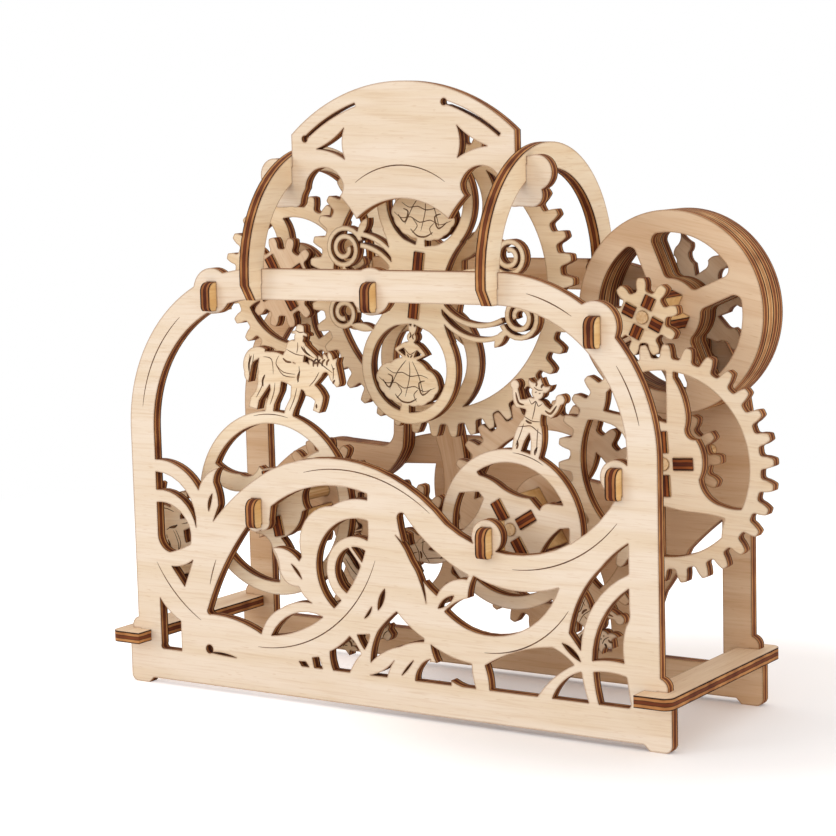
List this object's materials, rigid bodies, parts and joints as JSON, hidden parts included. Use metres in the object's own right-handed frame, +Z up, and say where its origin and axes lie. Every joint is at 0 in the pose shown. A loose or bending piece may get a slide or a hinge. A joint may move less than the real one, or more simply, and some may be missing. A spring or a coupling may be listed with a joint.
{
  "type": "mechanical puzzle theatre",
  "caption": "Laser-cut plywood theatre automaton: scrolled panels, arches and a title board around a geared flywheel, figure wheels and a dancers' rotor.",
  "frame": {"origin": "middle of the footprint, on the surface that it stands on", "axes": "+X to the right seen from the front, +Y from the front panel to the back panel, +Z up"},
  "size_m": [0.1828, 0.0648, 0.1604],
  "materials": {
    "panel_ply": "matt birch plywood with scorched edges",
    "gear_ply": "matt birch plywood with scorched edges",
    "peg_wood": "matt scorched plywood"
  },
  "bodies": {
    "frame": {"front_panel": "panel_ply", "back_panel": "panel_ply", "wave_front_ply": "panel_ply", "wave_rear_ply": "panel_ply", "strut_ply": "panel_ply", "left_ledge": "panel_ply", "right_ledge": "panel_ply", "left_arch": "panel_ply", "right_arch": "panel_ply", "title_sign": "panel_ply", "axle_clips": "peg_wood", "flywheel_axle": "peg_wood", "drive_axle": "peg_wood", "right_wheel_axle": "peg_wood", "left_wheel_axle": "peg_wood", "rotor_axle": "peg_wood", "side_gear_axle": "peg_wood", "idler_axle": "peg_wood", "axle_washers": "peg_wood"},
    "flywheel": {"flywheel_front_ply": "gear_ply", "flywheel_middle_ply": "gear_ply", "flywheel_rear_ply": "gear_ply", "flywheel_rear_rim": "gear_ply", "flame_wheel": "gear_ply", "flywheel_pinion": "gear_ply", "flywheel_pegs": "peg_wood"},
    "drive": {"drive_gear": "gear_ply", "drive_pinion": "gear_ply", "drive_pegs": "peg_wood"},
    "right_carousel": {"right_figure_wheel": "panel_ply", "right_wheel_gear": "gear_ply", "right_wheel_pegs": "peg_wood"},
    "left_carousel": {"left_figure_wheel": "panel_ply", "left_wheel_gear": "gear_ply", "left_wheel_pegs": "peg_wood"},
    "rotor": {"rotor_plate": "panel_ply", "ring_gear": "gear_ply", "rotor_pegs": "peg_wood"},
    "side": {"side_gear": "gear_ply", "side_pinion": "gear_ply", "side_gear_pegs": "peg_wood"},
    "idler": {"idler_gear": "gear_ply"}
  },
  "joints": [
    {"name": "flywheel_spin", "type": "hinge", "parent": "frame", "child": "flywheel", "pos_m": [0.05673, 0, 0.1012], "axis": [0, 1, 0], "continuous": true},
    {"name": "drive_spin", "type": "hinge", "parent": "frame", "child": "drive", "pos_m": [0.0619, 0, 0.0653], "axis": [0, 1, 0], "continuous": true},
    {"name": "right_carousel_spin", "type": "hinge", "parent": "frame", "child": "right_carousel", "pos_m": [0.02563, 0, 0.04845], "axis": [0, 1, 0], "continuous": true},
    {"name": "left_carousel_spin", "type": "hinge", "parent": "frame", "child": "left_carousel", "pos_m": [-0.0446, 0, 0.051], "axis": [0, 1, 0], "continuous": true},
    {"name": "rotor_spin", "type": "hinge", "parent": "frame", "child": "rotor", "pos_m": [-0.0066, 0, 0.1082], "axis": [0, 1, 0], "continuous": true},
    {"name": "side_gear_spin", "type": "hinge", "parent": "frame", "child": "side", "pos_m": [-0.05681, 0, 0.1075], "axis": [0, 1, 0], "continuous": true},
    {"name": "idler_spin", "type": "hinge", "parent": "frame", "child": "idler", "pos_m": [-0.01843, 0, 0.03683], "axis": [0, 1, 0], "continuous": true}
  ],
  "couplings": [
    {"joint": "drive_spin", "follows": "flywheel_spin", "ratio": -0.3},
    {"joint": "right_carousel_spin", "follows": "flywheel_spin", "ratio": 0.11613},
    {"joint": "rotor_spin", "follows": "flywheel_spin", "ratio": -0.085714},
    {"joint": "side_gear_spin", "follows": "flywheel_spin", "ratio": 0.3},
    {"joint": "idler_spin", "follows": "flywheel_spin", "ratio": -0.2},
    {"joint": "left_carousel_spin", "follows": "flywheel_spin", "ratio": 0.25714}
  ]
}
